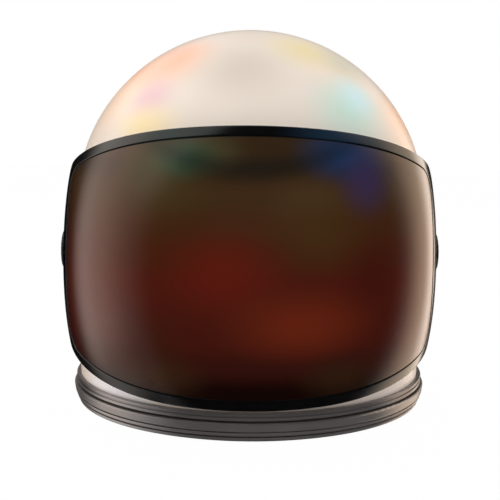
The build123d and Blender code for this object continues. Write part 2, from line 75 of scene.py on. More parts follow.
def gridObject(name, points, closeAcross=False, closeAlong=False):
    # a grid of points (along, across, 3) in millimetres becomes quads, in metres
    along, across = points.shape[:2]
    index = np.arange(along * across).reshape(along, across)
    if closeAlong:
        index = np.vstack([index, index[:1]])
    if closeAcross:
        index = np.hstack([index, index[:, :1]])
    quads = np.stack([index[:-1, :-1], index[1:, :-1], index[1:, 1:], index[:-1, 1:]], -1)
    mesh = bpy.data.meshes.new(name)
    mesh.from_pydata((points.reshape(-1, 3) * mm).tolist(), [], quads.reshape(-1, 4).tolist())
    mesh.update()
    piece = bpy.data.objects.new(name, mesh)
    bpy.context.scene.collection.objects.link(piece)
    return piece


def shadeSmooth(piece):
    piece.data.polygons.foreach_set("use_smooth", np.ones(len(piece.data.polygons), bool))


def closeUp(piece, mergeDistance=1e-6):
    # doubled points at poles and seams are merged and all faces turned outwards
    work = bmesh.new()
    work.from_mesh(piece.data)
    bmesh.ops.remove_doubles(work, verts=work.verts, dist=mergeDistance)
    bmesh.ops.recalc_face_normals(work, faces=work.faces)
    work.to_mesh(piece.data)
    work.free()
    shadeSmooth(piece)
    piece.data.update()
    return piece


def corners(piece):
    # the mesh's points as rows of x, y, z in metres
    points = np.empty(len(piece.data.vertices) * 3)
    piece.data.vertices.foreach_get("co", points)
    return points.reshape(-1, 3)


def smoothStep(value):
    # 0 up to 0, 1 from 1, and 3 s^2 - 2 s^3 between
    share = np.clip(value, 0, 1)
    return share * share * (3 - 2 * share)


# Visor surface, in millimetres about the pivot axis
visor = {
    "pivotHeight": 128.0, "arcRadius": (200.0, 135.0, 700.0), "reach": 196.0, "halfWidth": 155.0,
    "tableSteps": 6000,
}


def visorSection():
    # three arcs, front, corner and side, that meet without a kink: the corner's middle is where circles of
    # radius (front - corner) and (side - corner) about the other two middles cross. turn is the normal's
    # angle from straight ahead, run the length along the arcs: radius * turn, added up
    front, corner, side = visor["arcRadius"]
    frontMid = np.array([0.0, visor["reach"] - front])
    sideMid = np.array([visor["halfWidth"] - side, 0.0])
    gap = hypot(*(frontMid - sideMid))
    foot = ((front - corner) ** 2 - (side - corner) ** 2 + gap**2) / (2 * gap)
    rise = np.sqrt((front - corner) ** 2 - foot**2)
    toSide = (sideMid - frontMid) / gap
    square = np.array([-toSide[1], toSide[0]]) * rise
    cornerMid = frontMid + toSide * foot + square
    if cornerMid[1] < frontMid[1]:
        cornerMid = frontMid + toSide * foot - square
    firstTurn = np.arctan2(*(cornerMid - frontMid))
    secondTurn = np.arctan2(*(cornerMid - sideMid))
    turns = np.array([0, firstTurn, secondTurn, pi / 2])
    runs = np.concatenate([[0], np.cumsum(np.diff(turns) * np.array([front, corner, side]))])
    return turns, runs, np.array([frontMid, cornerMid, sideMid]), np.array([front, corner, side])


sectionTurns, sectionRuns, sectionMids, sectionRadii = visorSection()


def sectionAt(run):
    # at a run from the middle: the arc's middle + radius * (sin turn, cos turn), as distance across and
    # out from the pivot axis, with the turn of the normal
    turn = np.interp(run, sectionRuns, sectionTurns)
    arc = np.clip(np.searchsorted(sectionRuns, run, side="right") - 1, 0, 2)
    across = sectionMids[arc, 0] + sectionRadii[arc] * np.sin(turn)
    out = sectionMids[arc, 1] + sectionRadii[arc] * np.cos(turn)
    return across, out, turn


runTable = np.linspace(0, sectionRuns[-1], visor["tableSteps"])
outTable = sectionAt(runTable)[1]


def runAtOut(out):
    # the run whose distance out is this one, read back from the table
    return np.interp(out, outTable[::-1], runTable[::-1])


def visorPoints(run, tilt, lift):
    # (across, -out * cos(tilt), pivot height + out * sin(tilt)) at a run across and a tilt up from
    # straight ahead, with across and out first lifted along the section's normal
    across, out, turn = sectionAt(np.abs(run))
    across = across + lift * np.sin(turn)
    out = out + lift * np.cos(turn)
    return np.stack([
        np.sign(run) * across, -out * np.cos(tilt), visor["pivotHeight"] + out * np.sin(tilt)
    ], -1)


# Outlines seen from the side, about the pivot: height = level + slope * y, with y minus ahead. frameTop
# and the like give the height at "ahead" and the height at the rear end
outline = {
    "ahead": 210.0,
    "frameRear": 58.0, "frameTop": (132.9, 76.7), "frameBottom": (-106.3, -66.1), "frameCorner": 17.0,
    "lensRear": 75.0, "lensTop": (123.6, 71.7), "lensBottom": (-96.1, -58.3), "lensCorner": 14.0,
    "lensSideRadius": 105.0, "sealWidth": 1.2,
}
steps = {"edge": 130, "corner": 26, "side": 70}


def edgeLine(heights, rear, offset):
    # slope = rise from ahead to rear / length between; level = height at y 0 + offset * hypot(1, slope)
    slope = (heights[1] - heights[0]) / (outline["ahead"] - rear)
    outward = 1 if heights[0] > 0 else -1
    level = heights[0] + slope * outline["ahead"] + outward * offset * hypot(1, slope)
    return slope, level, outward


def lineOnCircle(slope, level, radius):
    # the forward one of the two y at which y^2 + (level + slope * y)^2 = radius^2
    square = 1 + slope**2
    return (-slope * level - np.sqrt(slope**2 * level**2 - square * (level**2 - radius**2))) / square


def lineTilts(slope, level, run):
    # tilt at which the section's point, turning about the pivot, meets height = level + slope * y
    y = lineOnCircle(slope, level, sectionAt(run)[1])
    return np.arctan2(level + slope * y, -y)


def cornerTrack(mid, radius, startAngle, endAngle):
    # middle + radius * (cos, sin) of the angle
    angle = np.linspace(startAngle, endAngle, steps["corner"])
    return mid[0] + radius * np.cos(angle), mid[1] + radius * np.sin(angle)


def halfTrack(lines, cornerMids, cornerRadius, turnEnds, sideTrack):
    # runs and tilts of one half outline, from the top middle round to the bottom middle
    parts = []
    for which, (slope, level, outward) in enumerate(lines):
        normal = np.arctan2(outward, -outward * slope)
        y, z = cornerTrack(cornerMids[which], cornerRadius, normal, turnEnds[which])
        cornerRun, cornerTilt = runAtOut(np.hypot(y, z)), np.arctan2(z, -y)
        run = np.linspace(0, cornerRun[0], steps["edge"], endpoint=False)
        part = np.stack([
            np.concatenate([run, cornerRun]), np.concatenate([lineTilts(slope, level, run), cornerTilt])
        ])
        parts.append(part if which == 0 else part[:, ::-1])
    return np.concatenate([parts[0], sideTrack, parts[1]], axis=1)


def outerHalf():
    # top line, round corner, straight rear end, round corner and bottom line of the frame
    rear, radius = outline["frameRear"], outline["frameCorner"]
    lines = [edgeLine(outline[name], rear, 0) for name in ("frameTop", "frameBottom")]
    mids = []
    for slope, level, outward in lines:
        y = -rear - radius
        mids.append((y, level + slope * y - outward * radius * hypot(1, slope)))
    z = np.linspace(mids[0][1], mids[1][1], steps["side"] + 2)[1:-1]
    side = np.stack([runAtOut(np.hypot(rear, z)), np.arctan2(z, np.full_like(z, rear))])
    return halfTrack(lines, mids, radius, (0, 0), side)


def innerHalf(offset):
    # the lens's outline grown by an offset: its side is an arc about the pivot, with round corners, whose
    # middles lie their radius inside the line and their radius outside that arc
    radius = outline["lensSideRadius"] - offset
    lines = [edgeLine(outline[name], outline["lensRear"], 0) for name in ("lensTop", "lensBottom")]
    grown = [edgeLine(outline[name], outline["lensRear"], offset) for name in ("lensTop", "lensBottom")]
    mids, ends = [], []
    for slope, level, outward in lines:
        low = level - outward * outline["lensCorner"] * hypot(1, slope)
        y = lineOnCircle(slope, low, outline["lensSideRadius"] + outline["lensCorner"])
        mids.append((y, low + slope * y))
        ends.append(np.arctan2(-mids[-1][1], -y))
    tilts = [np.arctan2(mid[1], -mid[0]) for mid in mids]
    tilt = np.linspace(tilts[0], tilts[1], steps["side"] + 2)[1:-1]
    side = np.stack([runAtOut(np.full_like(tilt, radius)), tilt])
    return halfTrack(grown, mids, outline["lensCorner"] + offset, ends, side)


def wholeLoop(half):
    # the half from top to bottom, then the same with the run's sign changed, walked back without its ends
    back = half[:, -2:0:-1] * np.array([[-1], [1]])
    return np.concatenate([half, back], axis=1)


# Rim: a rounded skin round the frame's band, from the seal out over its outer edge
rim = {
    "lift": 0.35, "innerRound": 0.5, "edgeRound": 1.1, "edgeDrop": 0.8, "wrap": 0.25, "grooveDepth": 0.9,
    "wallDepth": 2.2, "roundSteps": 7, "faceSteps": 12,
}


def makeRim(name):
    # each across-line runs from the seal's edge to the frame's edge, rounded at both, and back underneath:
    # point = inner + (outer - inner) * distance / width, at its lift over the visor's surface
    inner, outer = wholeLoop(innerHalf(outline["sealWidth"])), wholeLoop(outerHalf())
    meanOut = sectionAt(np.abs(inner[0] + outer[0]) / 2)[1]
    width = np.hypot(outer[0] - inner[0], meanOut * (outer[1] - inner[1]))
    bend = np.linspace(0, pi / 2, rim["roundSteps"])
    roundIn = np.stack([rim["innerRound"] * (1 - np.cos(bend)), rim["lift"] * np.sin(bend)], -1)
    roundOut = np.stack([
        rim["edgeRound"] * (1 - np.sin(bend)) - rim["wrap"],
        rim["lift"] - rim["edgeDrop"] * (1 - np.cos(bend)),
    ], -1)
    fromSeal = [(0, -rim["grooveDepth"]), *roundIn]
    fromEdge = [*roundOut, (-rim["wrap"], -rim["wallDepth"]), (rim["edgeRound"], -rim["wallDepth"])]
    first, last = rim["innerRound"] / width, 1 - rim["edgeRound"] / width
    faceShares = np.linspace(0, 1, rim["faceSteps"] + 2)[1:-1]
    rows = [(distance / width, lift) for distance, lift in fromSeal]
    rows += [(first + (last - first) * share, rim["lift"]) for share in faceShares]
    rows += [(1 - distance / width, lift) for distance, lift in fromEdge]
    share = np.stack([row[0] for row in rows], -1)
    lifts = np.array([row[1] for row in rows])
    run = inner[0][:, None] + (outer[0] - inner[0])[:, None] * share
    tilt = inner[1][:, None] + (outer[1] - inner[1])[:, None] * share
    points = visorPoints(run, tilt, lifts[None, :])
    return closeUp(gridObject(name, points, closeAcross=True, closeAlong=True))


visorRim = makeRim("visor_rim")
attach(visorRim, "visor")
print("rim:", len(visorRim.data.polygons), "faces")

# Knobs: profile of (radius, distance out), turned about the pivot axis, with shallow grips round the edge.
# lip and well hold steps from the recess's radius, and from the outer face or the recess's floor
knob = {
    "inner": 156.9, "outer": 163.2, "radius": 16.5, "edge": 1.7, "foot": 0.5,
    "recess": 10.5, "recessDepth": 0.8, "insert": 6.5, "insertLength": 3.0, "bore": 4.05, "boreEnd": 161.1,
    "lip": [(0.5, 0.0), (0.15, -0.12), (0.0, -0.4)], "well": [(-0.1, 0.12), (-0.4, 0.0)],
    "dishShare": 0.6, "dishRise": (0.12, 0.3), "roundSteps": 7,
    "grips": 18, "gripDepth": 0.5, "gripHalfAngle": 4.0, "gripStart": 2.2, "gripFade": 1.6, "around": 432,
}


def knobProfile():
    # bore, insert's seat, quarter round at the foot and at the edge, then the lip, recess and shallow dish
    foot, edge = knob["foot"], knob["edge"]
    bend = np.linspace(0, pi / 2, knob["roundSteps"])
    underside = [
        (0, knob["boreEnd"]), (knob["bore"], knob["boreEnd"]),
        (knob["bore"], knob["inner"] + knob["insertLength"]),
        (knob["insert"], knob["inner"] + knob["insertLength"]), (knob["insert"], knob["inner"]),
    ]
    footRound = [
        (knob["radius"] - foot + foot * sin(a), knob["inner"] + foot - foot * cos(a)) for a in bend
    ]
    topRound = [
        (knob["radius"] - edge + edge * cos(a), knob["outer"] - edge + edge * sin(a)) for a in bend
    ]
    floor = knob["outer"] - knob["recessDepth"]
    lip = [(knob["recess"] + step, knob["outer"] + rise) for step, rise in knob["lip"]]
    well = [(knob["recess"] + step, floor + rise) for step, rise in knob["well"]]
    sideRise, midRise = knob["dishRise"]
    dish = [(knob["recess"] * knob["dishShare"], floor + sideRise), (0, floor + midRise)]
    return np.array(underside + footRound + topRound + lip + well + dish)


def makeKnob(name, side):
    # (side * out, radius * cos, radius * sin); near the edge, radius loses
    # depth * (1 - (angle off the grip / half angle)^2)
    profile = knobProfile()
    angle = np.linspace(0, 2 * pi, knob["around"], endpoint=False)
    pitch = 2 * pi / knob["grips"]
    offGrip = (angle + pitch / 2) % pitch - pitch / 2
    dip = np.clip(1 - (offGrip / radians(knob["gripHalfAngle"])) ** 2, 0, 1) * knob["gripDepth"]
    atEdge = smoothStep((profile[:, 0] - knob["radius"] + knob["gripStart"]) / knob["gripFade"])
    radius = profile[None, :, 0] - dip[:, None] * atEdge[None, :]
    points = np.stack([
        side * np.broadcast_to(profile[None, :, 1], radius.shape),
        radius * np.cos(angle)[:, None],
        visor["pivotHeight"] + radius * np.sin(angle)[:, None],
    ], -1)
    return closeUp(gridObject(name, points, closeAlong=True))


for word, side in (("left", -1), ("right", 1)):
    piece = makeKnob(f"knob_{word}", side)
    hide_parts(f"pivot_knob_{word}")
    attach(piece, f"{word}_knob")
print("knobs made")

# Pads: closed padded forms that follow the shell's inner wall
shellWall = {"dome": 150.0, "domeHeight": 169.0, "foot": 146.5, "footHeight": 19.5, "thickness": 3.0}
wallHeight = shellWall["domeHeight"] - shellWall["footHeight"]
wallTaper = (shellWall["dome"] - shellWall["foot"]) / wallHeight
padSetup = {
    "outerDepth": 3.9, "innerDepth": 20.6, "edgeShare": 0.2, "corner": 5.0, "crown": 0.2,
    "around": 144, "faceSteps": 22, "edgeSteps": 12,
    "channelDepth": 2.2, "channelWidth": 3.4, "channelStart": 9.0, "channelFade": 6.0,
    "pocketDepth": 18.4, "pocketFade": 3.0, "pocketFace": 0.5,
    "voxel": 0.005, "pressure": 4.0, "frames": 20, "cap": 0.0022,
}
# middle, half width and seams in degrees of azimuth, bottom as a height, top in degrees up the dome, and
# pocket as the radius about the pivot that stays clear of its hardware
sidePad = {"half": 16.0, "bottom": 86.0, "top": 18.8, "seams": (-6.5, 6.5), "pocket": 20.5}
pads = {
    "rear_pad": {
        "middle": 90, "half": 38.8, "bottom": 94.0, "top": 28.8, "seams": (-19.5, 0, 19.5), "pocket": None,
    },
    "side_pad_left": {"middle": 180, **sidePad},
    "side_pad_right": {"middle": 0, **sidePad},
}
crownSetup = {"half": 34.8, "seams": range(0, 360, 60), "ring": 13}


def wallPoints(azimuth, climb, depth):
    # climb is the length up the wall from the dome's centre height. Above it the wall is round: radius *
    # (cos, sin) of climb / dome; below it straight, and the radius loses taper * depth below
    rise = np.clip(climb, 0, None) / shellWall["dome"]
    radius = shellWall["dome"] - depth
    across = np.where(climb > 0, radius * np.cos(rise), radius + climb * wallTaper)
    height = shellWall["domeHeight"] + np.where(climb > 0, radius * np.sin(rise), climb)
    return np.stack([across * np.cos(azimuth), across * np.sin(azimuth), height], -1)


def padProfile():
    # out: share of the way from the pad's middle to its edge; face: -1 at the shell and 1 at the head.
    # Flat, then a half round of edgeShare, (1 - edge + edge * cos, sin), then flat again
    edge = padSetup["edgeShare"]
    flat = np.linspace(0, 1 - edge, padSetup["faceSteps"], endpoint=False)
    bend = np.linspace(-pi / 2, pi / 2, padSetup["edgeSteps"])
    out = np.concatenate([flat, 1 - edge + edge * np.cos(bend), flat[::-1]])
    face = np.concatenate([-np.ones_like(flat), np.sin(bend), np.ones_like(flat)])
    return out, face


def padDepth(out, face):
    # middle depth + half the thickness * face, on the head side * (1 - crown * out^2)
    middle = (padSetup["outerDepth"] + padSetup["innerDepth"]) / 2
    half = (padSetup["innerDepth"] - padSetup["outerDepth"]) / 2
    drop = padSetup["crown"]
    return middle + half * (face * np.where(face > 0, 1 - drop + drop * (1 - out**2), 1.0))


def padPlan(angle):
    # rounded rectangle, as a superellipse: (|cos|^p + |sin|^p)^(-1/p) * (cos, sin)
    power = padSetup["corner"]
    size = (np.abs(np.cos(angle)) ** power + np.abs(np.sin(angle)) ** power) ** (-1 / power)
    return size * np.cos(angle), size * np.sin(angle)


def makeWallPad(name, pad):
    # azimuth and climb = the pad's middle + its half size * plan * out, at the pad's depth in from the
    # shell; round the pivot's hardware the shell side is pressed in to the pocket's depth
    out, face = padProfile()
    angle = np.linspace(0, 2 * pi, padSetup["around"], endpoint=False)
    planX, planY = padPlan(angle)
    azimuth = radians(pad["middle"]) + radians(pad["half"]) * planX[:, None] * out[None, :]
    topClimb = radians(pad["top"]) * shellWall["dome"]
    lowClimb = pad["bottom"] - shellWall["domeHeight"]
    climb = (topClimb + lowClimb) / 2 + (topClimb - lowClimb) / 2 * planY[:, None] * out[None, :]
    depth = padDepth(out, face)[None, :]
    points = wallPoints(azimuth, climb, depth)
    if pad["pocket"]:
        toPivot = np.hypot(points[..., 1], points[..., 2] - visor["pivotHeight"])
        pocket = smoothStep((pad["pocket"] - toPivot) / padSetup["pocketFade"])
        pocket = pocket * (face < padSetup["pocketFace"])[None, :]
        depth = np.maximum(depth, pocket * padSetup["pocketDepth"])
        points = wallPoints(azimuth, climb, depth)
    return closeUp(gridObject(name, points, closeAlong=True))


def makeCrownPad(name, half):
    # turned about the upright axis: (dome - depth) * (sin, cos) of the angle from the top, half * out
    out, face = padProfile()
    angle = np.linspace(0, 2 * pi, padSetup["around"], endpoint=False)
    fromTop = radians(half) * out
    radius = shellWall["dome"] - padDepth(out, face)
    flat = (radius * np.sin(fromTop))[None, :]
    height = (shellWall["domeHeight"] + radius * np.cos(fromTop))[None, :]
    points = np.stack([
        flat * np.cos(angle)[:, None], flat * np.sin(angle)[:, None],
        np.broadcast_to(height, (len(angle), len(out))),
    ], -1)
    return closeUp(gridObject(name, points, closeAlong=True))


def puff(piece):
    # cloth under a little pressure, held near the shape that it starts from: start + move, at most cap long
    remesh = piece.modifiers.new("voxels", "REMESH")
    remesh.mode = "VOXEL"
    remesh.voxel_size = padSetup["voxel"]
    remesh.use_smooth_shade = True
    bpy.context.view_layer.objects.active = piece
    bpy.ops.object.modifier_apply(modifier=remesh.name)
    start = corners(piece)
    cloth = piece.modifiers.new("cover", "CLOTH")
    cloth.settings.use_pressure = True
    cloth.settings.uniform_pressure_force = padSetup["pressure"]
    cloth.settings.effector_weights.gravity = 0
    cloth.point_cache.frame_end = padSetup["frames"]
    scene = bpy.context.scene
    for step in range(1, padSetup["frames"] + 1):
        scene.frame_set(step)
    bpy.ops.object.modifier_apply(modifier=cloth.name)
    scene.frame_set(1)
    move = corners(piece) - start
    length = np.linalg.norm(move, axis=1, keepdims=True)
    held = start + move * np.minimum(1, padSetup["cap"] / np.maximum(length, 1e-9))
    piece.data.vertices.foreach_set("co", held.ravel())
    finer = piece.modifiers.new("finer", "SUBSURF")
    finer.levels = finer.render_levels = 1
    bpy.ops.object.modifier_apply(modifier=finer.name)
    piece.data.update()


def sewChannels(piece, azimuths, ringAngle=None):
    # seams press the head side in, along given azimuths and round a ring on the crown:
    # channel depth * exp(-(2 * distance from the nearest seam / width)^2), out along the wall's normal
    points = corners(piece) / mm
    rel = points - np.array([0, 0, shellWall["domeHeight"]])
    flat = np.hypot(points[:, 0], points[:, 1])
    upper = np.maximum(rel[:, 2], 0)
    radius = np.sqrt(flat**2 + upper**2)
    depth = shellWall["dome"] - radius
    inward = smoothStep((depth - padSetup["channelStart"]) / padSetup["channelFade"])
    away = np.full(len(points), np.inf)
    bearing = np.arctan2(points[:, 1], points[:, 0])
    for azimuth in azimuths:
        off = (bearing - radians(azimuth) + pi) % (2 * pi) - pi
        away = np.where(np.abs(off) < pi / 2, np.minimum(away, np.abs(flat * np.sin(off))), away)
    if ringAngle is not None:
        fromTop = np.arctan2(flat, np.maximum(rel[:, 2], 1))
        away = np.minimum(away, np.abs(fromTop - radians(ringAngle)) * radius)
    press = padSetup["channelDepth"] * np.exp(-((away / padSetup["channelWidth"] * 2) ** 2)) * inward
    direction = np.stack([rel[:, 0], rel[:, 1], upper], -1) / np.maximum(radius, 1e-6)[:, None]
    points = points + direction * press[:, None]
    piece.data.vertices.foreach_set("co", (points * mm).ravel())
    piece.data.update()


padPieces = []
for name, pad in pads.items():
    piece = makeWallPad(f"{name}_cover", pad)
    puff(piece)
    sewChannels(piece, [pad["middle"] + seam for seam in pad["seams"]])
    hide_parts(name)
    padPieces.append(piece)
crownPad = makeCrownPad("crown_pad_cover", crownSetup["half"])
puff(crownPad)
sewChannels(crownPad, crownSetup["seams"], crownSetup["ring"])
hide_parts("crown_pad")
padPieces.append(crownPad)
for piece in padPieces:
    shadeSmooth(piece)
    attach(piece, "helmet")
print("pads:", [len(piece.data.polygons) for piece in padPieces])


def tone(red, green, blue):
    # a screen colour, 0 to 255, as linear light, by the sRGB curve
    share = np.array([red, green, blue]) / 255
    linear = np.where(share > 0.04045, ((share + 0.055) / 1.055) ** 2.4, share / 12.92)
    return (*linear.tolist(), 1.0)


def newGroup(name, inputs, outputs):
    # inputs: (name, kind, value or None); outputs: (name, kind)
    group = bpy.data.node_groups.new(name, "ShaderNodeTree")
    for socket, kind, value in inputs:
        made = group.interface.new_socket(socket, in_out="INPUT", socket_type=kind)
        if value is not None:
            made.default_value = value
    for socket, kind in outputs:
        group.interface.new_socket(socket, in_out="OUTPUT", socket_type=kind)
    return group, group.nodes.new("NodeGroupInput"), group.nodes.new("NodeGroupOutput")


def vectorMath(tree, operation, first, second=None):
    node = tree.nodes.new("ShaderNodeVectorMath")
    node.operation = operation
    for socket, value in zip(node.inputs, (first, second)):
        join(tree, value, socket)
    return node.outputs["Value"] if operation == "LENGTH" else node.outputs["Vector"]


def maths(tree, operation, first, second=None):
    node = tree.nodes.new("ShaderNodeMath")
    node.operation = operation
    for socket, value in zip(node.inputs, (first, second)):
        join(tree, value, socket)
    return node.outputs["Value"]


def join(tree, value, socket):
    # another node's output is linked, a number or colour is set
    if isinstance(value, bpy.types.NodeSocket):
        tree.links.new(value, socket)
    elif value is not None:
        socket.default_value = value


def splitXYZ(tree, vector):
    node = tree.nodes.new("ShaderNodeSeparateXYZ")
    join(tree, vector, node.inputs["Vector"])
    return tuple(node.outputs)


def combineXYZ(tree, *values):
    node = tree.nodes.new("ShaderNodeCombineXYZ")
    for socket, value in zip(node.inputs, values):
        join(tree, value, socket)
    return node.outputs["Vector"]


def spread(tree, value, fromLow, fromHigh, toLow, toHigh, smooth=False):
    # toLow + (toHigh - toLow) * (value - fromLow) / (fromHigh - fromLow), held at both ends, eased if smooth
    node = tree.nodes.new("ShaderNodeMapRange")
    node.interpolation_type = "SMOOTHSTEP" if smooth else "LINEAR"
    for socket, number in zip(node.inputs, (value, fromLow, fromHigh, toLow, toHigh)):
        join(tree, number, socket)
    return node.outputs["Result"]


def noise(tree, vector, scale, detail=3.0):
    node = tree.nodes.new("ShaderNodeTexNoise")
    join(tree, vector, node.inputs["Vector"])
    join(tree, scale, node.inputs["Scale"])
    node.inputs["Detail"].default_value = detail
    return node.outputs["Fac"]


def makePatchGroup():
    # 1 at the centre, falling smoothly to 0 at the reach: length of (place - centre) / reach
    group, given, result = newGroup("soft_patch", [
        ("Vector", "NodeSocketVector", None), ("Centre", "NodeSocketVector", (0, 0, 0)),
        ("Reach", "NodeSocketVector", (0.05, 0.05, 0.05)),
    ], [("Mask", "NodeSocketFloat")])
    away = vectorMath(group, "SUBTRACT", given.outputs["Vector"], given.outputs["Centre"])
    away = vectorMath(group, "DIVIDE", away, given.outputs["Reach"])
    length = vectorMath(group, "LENGTH", away)
    join(group, spread(group, length, 0.0, 1.0, 1.0, 0.0, smooth=True), result.inputs["Mask"])
    return group


def makeGrainGroup(markDetail=5.0, markRange=(0.35, 0.7)):
    # fine moulding grain as height, and broad handling marks as a mask, both noise over the place
    group, given, result = newGroup("grain_and_marks", [
        ("Vector", "NodeSocketVector", None), ("Grain Scale", "NodeSocketFloat", 900.0),
        ("Mark Scale", "NodeSocketFloat", 14.0),
    ], [("Height", "NodeSocketFloat"), ("Marks", "NodeSocketFloat")])
    height = noise(group, given.outputs["Vector"], given.outputs["Grain Scale"])
    join(group, height, result.inputs["Height"])
    marks = noise(group, given.outputs["Vector"], given.outputs["Mark Scale"], markDetail)
    join(group, spread(group, marks, *markRange, 0.0, 1.0, smooth=True), result.inputs["Marks"])
    return group


def makeTurnedGroup(ringDetail=2.0):
    # fine rings left by turning: noise over (length of x and y, z) only
    group, given, result = newGroup("turned_rings", [
        ("Vector", "NodeSocketVector", None), ("Scale", "NodeSocketFloat", 2500.0),
    ], [("Height", "NodeSocketFloat")])
    x, y, z = splitXYZ(group, given.outputs["Vector"])
    flat = vectorMath(group, "LENGTH", combineXYZ(group, x, y))
    rings = noise(group, combineXYZ(group, flat, None, z), given.outputs["Scale"], ringDetail)
    join(group, rings, result.inputs["Height"])
    return group


def makeWeaveGroup():
    # two crossing sets of threads: sin(threads * (x + z)) * sin(threads * (y - z))
    group, given, result = newGroup("cloth_weave", [
        ("Vector", "NodeSocketVector", None), ("Threads", "NodeSocketFloat", 5200.0),
    ], [("Height", "NodeSocketFloat")])
    x, y, z = splitXYZ(group, given.outputs["Vector"])
    waves = [
        maths(group, "SINE", maths(group, "MULTIPLY", value, given.outputs["Threads"]))
        for value in (maths(group, "ADD", x, z), maths(group, "SUBTRACT", y, z))
    ]
    join(group, maths(group, "MULTIPLY", *waves), result.inputs["Height"])
    return group


patchGroup, grainGroup = makePatchGroup(), makeGrainGroup()
turnedGroup, weaveGroup = makeTurnedGroup(), makeWeaveGroup()


def newMaterial(name, sockets):
    material = bpy.data.materials.new(name)
    material.use_nodes = True
    tree = material.node_tree
    shader = tree.nodes["Principled BSDF"]
    for socket, value in sockets.items():
        shader.inputs[socket].default_value = value
    place = tree.nodes.new("ShaderNodeTexCoord").outputs["Object"]
    return material, tree, shader, place


def useGroup(tree, group, **values):
    # a group placed in a material; Grain_Scale sets the input "Grain Scale"
    node = tree.nodes.new("ShaderNodeGroup")
    node.node_tree = group
    for socket, value in values.items():
        join(tree, value, node.inputs[socket.replace("_", " ")])
    return node


def mixColour(tree, share, first, second):
    # first + (second - first) * share; inputs 6 and 7 and output 2 are the node's colour sockets
    node = tree.nodes.new("ShaderNodeMix")
    node.data_type = "RGBA"
    join(tree, share, node.inputs[0])
    join(tree, first, node.inputs[6])
    join(tree, second, node.inputs[7])
    return node.outputs[2]


def addGrain(tree, shader, grain, finish, height=None):
    # roughness between the finish's two by the marks, and bump from the grain or from another height
    rough = spread(tree, grain.outputs["Marks"], 0.0, 1.0, *finish["rough"])
    join(tree, rough, shader.inputs["Roughness"])
    if "bump" not in finish:
        return
    node = tree.nodes.new("ShaderNodeBump")
    node.inputs["Strength"].default_value = finish["bump"]
    node.inputs["Distance"].default_value = finish["bumpDepth"]
    join(tree, grain.outputs["Height"] if height is None else height, node.inputs["Height"])
    join(tree, node.outputs["Normal"], shader.inputs["Normal"])


def paintLightPatches(tree, place, ground, paintedLightPatches):
    # paintedLightPatches: (centre mm, reach mm, colour, strength) of painted light, shade and reflections,
    # each laid over the ones before by mask * strength
    colour = ground
    for centre, reach, patchColour, strength in paintedLightPatches:
        patch = useGroup(
            tree, patchGroup, Vector=place,
            Centre=tuple(np.array(centre) * mm), Reach=tuple(np.array(reach) * mm),
        )
        share = maths(tree, "MULTIPLY", patch.outputs["Mask"], strength)
        colour = mixColour(tree, share, colour, patchColour)
    return colour


def rampColour(tree, value, low, high, stops):
    # colours at places between low and high along one direction, eased from one to the next
    ramp = tree.nodes.new("ShaderNodeValToRGB")
    ramp.color_ramp.interpolation = "EASE"
    elements = ramp.color_ramp.elements
    for place, _ in stops[2:]:
        elements.new((place - low) / (high - low))
    for element, (place, colour) in zip(elements, sorted(stops)):
        element.position = (place - low) / (high - low)
        element.color = colour
    join(tree, spread(tree, value, low * mm, high * mm, 0.0, 1.0), ramp.inputs["Fac"])
    return ramp.outputs["Color"]


# The shell's patches paint reflections of coloured studio light on its pale ground; the two at height 36
# paint light onto the strip between the visor and the ring
shellFinish = {
    "sockets": {"Specular IOR Level": 0.25, "Coat Weight": 0.12, "Coat Roughness": 0.16},
    "ground": tone(237, 224, 211), "lining": tone(120, 120, 122), "liningEdge": 0.2,
    "grain": 420.0, "marks": 9.0, "rough": (0.3, 0.4), "bump": 0.12, "bumpDepth": 0.0002,
    "paintedLightPatches": [
        # painted reflections of coloured studio light on the dome
        ((-62, -58, 293), (50, 56, 44), tone(252, 184, 150), 0.9),
        ((-94, -38, 279), (46, 64, 36), tone(252, 192, 158), 0.8),
        ((-111, -50, 257), (46, 52, 44), tone(255, 224, 196), 0.8),
        ((-80, -88, 262), (32, 34, 28), tone(234, 192, 198), 0.8),
        ((-84, -104, 240), (48, 44, 24), tone(250, 226, 168), 0.8),
        ((-10, -92, 283), (56, 56, 40), tone(213, 200, 186), 0.75),
        ((0, -40, 314), (50, 40, 24), tone(226, 208, 188), 0.7),
        ((44, -56, 301), (48, 50, 34), tone(238, 218, 158), 0.85),
        ((76, -50, 289), (36, 44, 34), tone(206, 202, 176), 0.8),
        ((76, -98, 252), (48, 52, 42), tone(198, 228, 213), 0.9),
        ((84, -82, 264), (30, 34, 28), tone(202, 238, 244), 0.8),
        ((126, -42, 244), (32, 66, 60), tone(255, 208, 174), 0.9),
        # painted light on the low strip of shell between the visor and the ring
        ((-108, -100, 36), (70, 70, 44), tone(255, 252, 255), 1.0),
        ((110, -98, 36), (70, 70, 44), tone(255, 240, 230), 1.0),
        # faint ones behind, where the photo shows nothing
        ((-74, 96, 252), (90, 70, 60), tone(240, 214, 210), 0.6),
        ((84, 92, 218), (80, 80, 80), tone(218, 226, 218), 0.6),
        ((-30, 142, 120), (90, 60, 80), tone(240, 230, 204), 0.5),
        ((-140, 40, 110), (50, 70, 70), tone(226, 222, 226), 0.5),
        ((136, 60, 90), (60, 70, 60), tone(244, 222, 206), 0.5),
    ],
}


